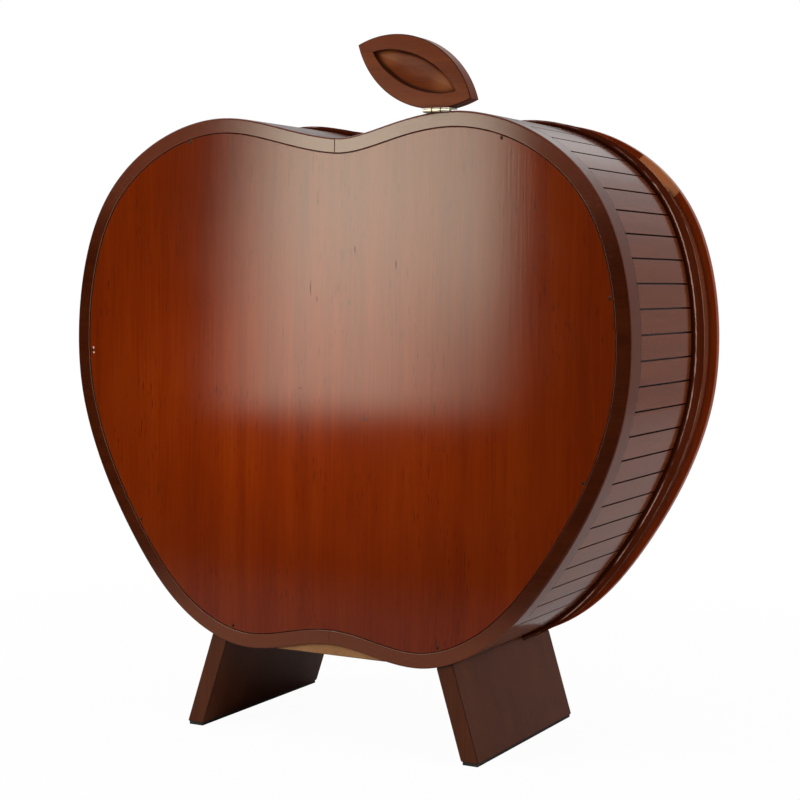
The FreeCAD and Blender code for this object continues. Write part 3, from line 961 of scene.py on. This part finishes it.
@dataclass
class Leaf:
    """The leaf on top, with its scooped back and its small hinge."""

    chord: float = 0.1715
    bulge: float = 0.0404
    tilt: float = math.radians(24.2)
    border: float = 0.021
    tip_border: float = 0.023
    arris: float = 0.0014
    arris_turns: Triple = (30.0, 60.0, 90.0)
    plate_arris: float = 0.0003
    steps: int = 320
    end_facing: float = 0.9
    # Rows of the hollow: share of its mouth's half sizes, and depth.
    scoop: tuple[Span, ...] = (
        (1.02, 0.0), (1.0, 0.0004), (0.985, 0.0021), (0.970, 0.0042), (0.945, 0.0059), (0.90, 0.0069),
        (0.82, 0.0075), (0.68, 0.0080), (0.52, 0.0084), (0.34, 0.0087), (0.16, 0.0088),
    )

    def __post_init__(self) -> None:
        """Find the leaf's middle, on its back, and its thickness from its node."""
        self.low, self.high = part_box("leaf")
        radius = (self.chord ** 2 / 4 + self.bulge ** 2) / (2 * self.bulge)
        top = radius - (radius - self.bulge) * math.cos(self.tilt)
        self.radius = radius
        self.middle = Vector(((self.low.x + self.high.x) / 2, self.high.y, self.high.z - top))
        self.thickness = self.high.y - self.low.y

    def column(self, side: int) -> bpy.types.Object:
        """Add one of the two round columns whose overlap is the leaf's almond.

        Args:
            side: 1 for the upper column, -1 for the lower one.

        Returns:
            The column, with its place in its mesh.
        """
        bpy.ops.object.select_all(action="DESELECT")
        place = (0.0, -self.thickness / 2, side * (self.radius - self.bulge))
        bpy.ops.mesh.primitive_cylinder_add(vertices=self.steps, radius=self.radius, location=place,
                                            depth=self.thickness - 2 * self.arris,
                                            rotation=(math.pi / 2, 0.0, 0.0))
        bpy.ops.object.transform_apply(location=True, rotation=True, scale=True)
        return bpy.context.active_object

    def almond(self) -> bpy.types.Object:
        """Make the plain almond.

        Returns:
            The almond, tips along X and back at +Y.
        """
        block, other = self.column(-1), self.column(1)
        apply_modifier(block, "BOOLEAN", object=other, operation="INTERSECT", solver="EXACT")
        bpy.data.objects.remove(other)
        merge_flat(block)
        block.name = block.data.name = "leaf_carved"
        return block

    def rounding(self) -> list[Triple]:
        """Find the rows of the quarter round on the outer arris.

        Returns:
            Half length, half width and depth of each row.
        """
        tip = self.chord / 2 / self.radius
        rows = []
        for turn in map(math.radians, self.arris_turns):
            inset = self.arris * (1.0 - math.cos(turn))
            depth = self.arris * (1.0 - math.sin(turn))
            rows.append((self.chord / 2 - inset / tip, self.bulge - inset, depth))
        return rows

    def rows(self, leaf: bpy.types.Object, back: bool, rows: list[Triple]) -> None:
        """Draw the almond's end on, row by row.

        Args:
            leaf: the almond.
            back: whether the back or the front end is drawn on.
            rows: half length, half width and depth below the leaf's plane, for each row.
        """
        facing = 1.0 if back else -1.0
        only(leaf)
        bpy.ops.object.mode_set(mode="EDIT")
        bpy.ops.mesh.select_mode(type="FACE")
        bpy.ops.mesh.select_all(action="DESELECT")
        bpy.ops.object.mode_set(mode="OBJECT")
        for face in leaf.data.polygons:
            face.select = face.normal.y * facing > self.end_facing
        bpy.ops.object.mode_set(mode="EDIT")
        before = (self.chord / 2, self.bulge, self.arris)
        for row in rows:
            step = (before[2] - row[2]) * facing
            bpy.ops.mesh.extrude_region_move(TRANSFORM_OT_translate={"value": (0.0, step, 0.0)})
            bpy.ops.transform.resize(value=(row[0] / before[0], 1.0, row[1] / before[1]),
                                     center_override=(0.0, 0.0, 0.0))
            before = row
        bpy.ops.object.mode_set(mode="OBJECT")

    def carve(self) -> bpy.types.Object:
        """Shape the leaf, set it in place and cut it flat where the hinge holds it.

        Returns:
            The finished leaf.
        """
        leaf = self.almond()
        mouth = (self.chord / 2 - self.tip_border, self.bulge - self.border)
        scoop = [(mouth[0] * share, mouth[1] * share, depth) for share, depth in self.scoop]
        self.rows(leaf, True, self.rounding() + scoop)
        self.rows(leaf, False, self.rounding())
        leaf.location = self.middle
        leaf.rotation_euler = (0.0, -self.tilt, 0.0)
        only(leaf)
        bpy.ops.object.transform_apply(location=True, rotation=True, scale=True)
        bpy.ops.object.mode_set(mode="EDIT")
        bpy.ops.mesh.select_all(action="SELECT")
        bpy.ops.mesh.bisect(plane_co=(0.0, 0.0, self.low.z), plane_no=(0.0, 0.0, 1.0),
                            use_fill=True, clear_inner=True)
        bpy.ops.object.mode_set(mode="OBJECT")
        smooth(leaf)
        return leaf

    def build(self) -> None:
        """Carve the leaf and dress it and its hinge."""
        stand_for(self.carve(), LEAF.material(), "leaf")
        eased(LEAF_BRASS, self.plate_arris, "leaf_hinge_lower", "leaf_hinge_upper",
              shortest=PLATE_SHORTEST)
        dress(LEAF_BRASS, "leaf_hinge_pin", "leaf_hinge_lower_screws", "leaf_hinge_upper_screws")


@dataclass(frozen=True)
class Cloth:
    """White cloth before a lamp; places on it run from 0 to 1 across and up."""

    rise: Span = (0.0, 0.35)
    rise_lean: float = 0.06
    dip: Span = (0.49, 0.83)
    dip_share: float = 0.22
    end: Span = (0.79, 1.0)
    corner_across: Span = (0.5, 0.95)
    corner_up: Span = (0.0, 0.55)
    corner_share: float = 0.65
    foot: Span = (0.0, 0.13)
    upper: Span = (0.06, 0.76)
    upper_share: float = 0.38

    def cover(self, data: bpy.types.AreaLight) -> None:
        """Let the light fade towards the sides, one corner and the bottom of the box.

        Args:
            data: the lamp behind the cloth.
        """
        data.use_nodes = True
        shader = Shader(data.node_tree)
        across, up, _ = shader.split(shader.node("ShaderNodeNewGeometry", {}, {}).outputs["Parametric"])
        rise = shader.step(across - up * self.rise_lean, *self.rise)
        dip = 1.0 - shader.step(across, *self.dip) * self.dip_share
        fall = dip * (1.0 - shader.step(across, *self.end))
        low = 1.0 - shader.step(up, *self.corner_up)
        corner = 1.0 - shader.step(across, *self.corner_across) * low * self.corner_share
        upper = shader.step(up, *self.upper) * self.upper_share + (1.0 - self.upper_share)
        level = rise * fall * corner * (shader.step(up, *self.foot) * upper)
        glow = shader.node("ShaderNodeEmission", {}, {"Color": WHITE, "Strength": level})
        shader.node("ShaderNodeOutputLight", {}, {"Surface": glow.outputs[0]})


@dataclass
class Lamp:
    """A soft box that shines at a point; one that is mirrored in the lacquer has a cloth before it."""

    name: str
    place: Triple
    target: Triple
    width: float
    height: float
    power: float
    mirrored: bool
    colour: Colour = WHITE

    def build(self) -> None:
        """Add the lamp."""
        data = bpy.data.lights.new(self.name, "AREA")
        data.shape = "RECTANGLE"
        data.size = self.width
        data.size_y = self.height
        data.energy = self.power
        data.color = self.colour
        lamp = bpy.data.objects.new(self.name, data)
        bpy.context.scene.collection.objects.link(lamp)
        lamp.location = self.place
        lamp.rotation_euler = (Vector(self.target) - Vector(self.place)).to_track_quat("-Z", "Y").to_euler()
        lamp.visible_camera = False
        lamp.visible_glossy = self.mirrored
        if self.mirrored:
            Cloth().cover(data)
        LOG.info("lamp %s", self.name)


@dataclass
class Studio:
    """Floor, world, lamps and camera."""

    camera_place: Triple = (-1.1374, 2.1486, 0.6060)
    camera_target: Triple = (-0.0977, 0.1595, 0.4502)
    camera_roll: float = 0.77
    focal_length: float = 81.5
    sensor_width: float = 36.0
    floor_radius: float = 2.6
    floor_sides: int = 128
    ambient: float = 0.2
    paper_white: float = 0.965
    paper_fade: Span = (0.7, 1.5)
    paper: Colour = (0.78, 0.78, 0.78)
    paper_mirrored: Colour = (0.42, 0.42, 0.42)
    paper_far: Colour = (0.02, 0.02, 0.02)
    mirror_fade: Span = (0.65, 1.5)
    back_mirrored: float = 0.24
    sky_mirrored: float = 0.80
    sky_up: Span = (0.05, 0.85)
    glow_mirrored: float = 0.60
    glow_right: Span = (-0.1, 0.25)
    glow_up: Span = (0.1, 0.5)
    room_back: Span = (0.2, 0.65)
    room_dark: float = 0.96
    lamps: list[Lamp] = field(default_factory=lambda: [
        Lamp("window", (1.107, 2.236, 0.63), (0.027, 0.146, 0.55), 0.92, 0.86, 32.8, True,
             (1.0, 0.925, 0.73)),
        Lamp("key", (1.5, 1.8, 1.4), (0.0, 0.1, 0.5), 1.0, 1.0, 26.0, False),
        Lamp("overhead", (0.3, 0.6, 3.0), (0.0, 0.0, 0.4), 2.4, 2.4, 30.0, False),
        Lamp("side_fill", (-2.6, 0.2, 1.2), (0.0, 0.0, 0.5), 1.6, 1.6, 40.0, False),
        Lamp("front_fill", (0.6, -2.6, 1.5), (0.0, 0.0, 0.5), 1.6, 1.6, 36.0, False),
    ])

    def floor(self) -> None:
        """Add the pale floor, which keeps the shadow."""
        bpy.ops.object.select_all(action="DESELECT")
        bpy.ops.mesh.primitive_circle_add(vertices=self.floor_sides, radius=self.floor_radius,
                                          fill_type="NGON")
        ground = bpy.context.active_object
        ground.name = "floor"
        material, shader = new_shader("floor_paper")
        camera, mirrored = self.rays(shader)
        away = shader.step(shader.length(shader.place()), *self.paper_fade)
        faded = away * (1.0 - self.paper_white) + self.paper_white
        far = mirrored * shader.step(shader.axes()[1], *self.mirror_fade)
        skin = shader.node("ShaderNodeBsdfDiffuse", {}, {"Color": self.paper})
        for share, colour in ((mirrored, self.paper_mirrored), (far, self.paper_far)):
            other = shader.node("ShaderNodeBsdfDiffuse", {}, {"Color": colour})
            inputs = {0: share, 1: skin.outputs[0], 2: other.outputs[0]}
            skin = shader.node("ShaderNodeMixShader", {}, inputs)
        white = shader.node("ShaderNodeEmission", {}, {"Color": WHITE, "Strength": 1.0})
        inputs = {0: camera * faded, 1: skin.outputs[0], 2: white.outputs[0]}
        both = shader.node("ShaderNodeMixShader", {}, inputs)
        shader.node("ShaderNodeOutputMaterial", {}, {"Surface": both.outputs[0]})
        ground.data.materials.append(material)

    @staticmethod
    def rays(shader: Shader) -> tuple[Value, Value]:
        """Tell apart the rays that reach the background.

        Args:
            shader: the node tree of the floor or the world.

        Returns:
            Masks of the rays that see it straight, and mirrored or through glass.
        """
        path = shader.node("ShaderNodeLightPath", {}, {})
        camera, glossy, through = (Value(shader, path.outputs[name]) for name in
                                   ("Is Camera Ray", "Is Glossy Ray", "Is Transmission Ray"))
        return camera, glossy.above(through)

    def world(self) -> None:
        """A white sweep behind the cabinet and a dark room behind the camera."""
        made = bpy.data.worlds.new("studio")
        made.use_nodes = True
        bpy.context.scene.world = made
        shader = Shader(made.node_tree)
        camera, mirrored = self.rays(shader)
        towards = shader.node("ShaderNodeTexCoord", {}, {}).outputs["Generated"]
        right, back, up = shader.split(towards)
        room = 1.0 - shader.step(back, *self.room_back) * self.room_dark
        glow = shader.step(right, *self.glow_right) * shader.step(up, *self.glow_up) * self.glow_mirrored
        sweep = (shader.step(up, *self.sky_up) * self.sky_mirrored + glow + self.back_mirrored) * room
        level = camera + mirrored * sweep + (1.0 - camera.above(mirrored)) * self.ambient
        light = shader.node("ShaderNodeBackground", {}, {"Color": WHITE, "Strength": level})
        shader.node("ShaderNodeOutputWorld", {}, {"Surface": light.outputs[0]})

    def camera(self) -> None:
        """Set the camera where the photograph was taken from."""
        data = bpy.data.cameras.new("camera")
        data.lens = self.focal_length
        data.sensor_width = self.sensor_width
        eye = bpy.data.objects.new("camera", data)
        bpy.context.scene.collection.objects.link(eye)
        look = Vector(self.camera_target) - Vector(self.camera_place)
        turn = look.to_track_quat("-Z", "Y").to_matrix().to_4x4()
        roll = Matrix.Rotation(math.radians(self.camera_roll), 4, "Z")
        eye.matrix_world = Matrix.Translation(self.camera_place) @ turn @ roll
        bpy.context.scene.camera = eye

    def build(self) -> None:
        """Set the whole stage."""
        self.floor()
        self.world()
        for lamp in self.lamps:
            lamp.build()
        self.camera()


def main() -> None:
    """Build and dress the cabinet in order, then set the stage."""
    logging.basicConfig(level=logging.INFO, format="%(message)s")
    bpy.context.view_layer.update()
    for piece in (Carcass(), Door(), Leaf()):
        piece.build()
    Studio().build()
    bpy.context.scene.view_settings.view_transform = "Standard"
    bpy.context.view_layer.update()


if __name__ == "__main__":
    main()
